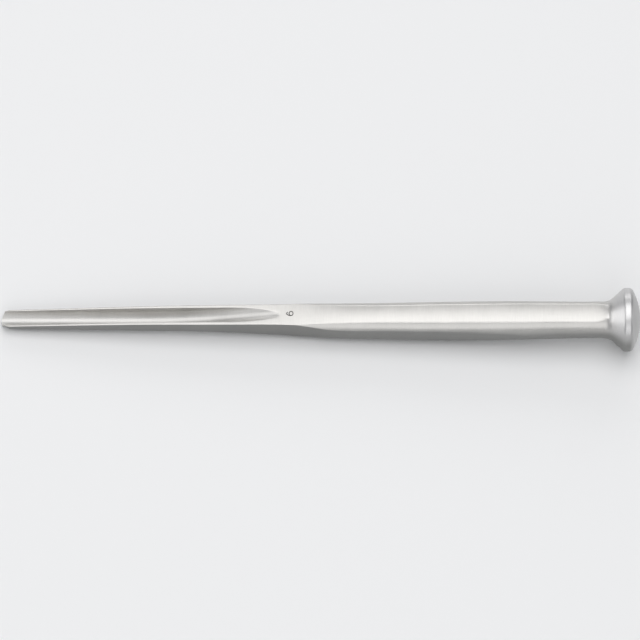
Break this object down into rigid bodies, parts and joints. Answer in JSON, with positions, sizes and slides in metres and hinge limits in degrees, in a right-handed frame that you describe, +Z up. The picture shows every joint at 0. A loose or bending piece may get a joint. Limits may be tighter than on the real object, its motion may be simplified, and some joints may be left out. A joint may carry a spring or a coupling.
{
  "type": "bone gouge",
  "caption": "One-piece stainless bone gouge with a round-bottomed channel, flat-topped handle and domed striking head.",
  "frame": {"origin": "under the middle of the resting tool, on the surface it lies on", "axes": "+X towards the striking head, +Z up with the channel open upwards; the tool's own axis falls about two degrees towards the blade"},
  "size_m": [0.203, 0.0202, 0.0202],
  "materials": {
    "steel": "satin ground faces with a fine cross grain, polished channel and head"
  },
  "bodies": {
    "root": {"gouge_body": "steel"}
  },
  "joints": []
}
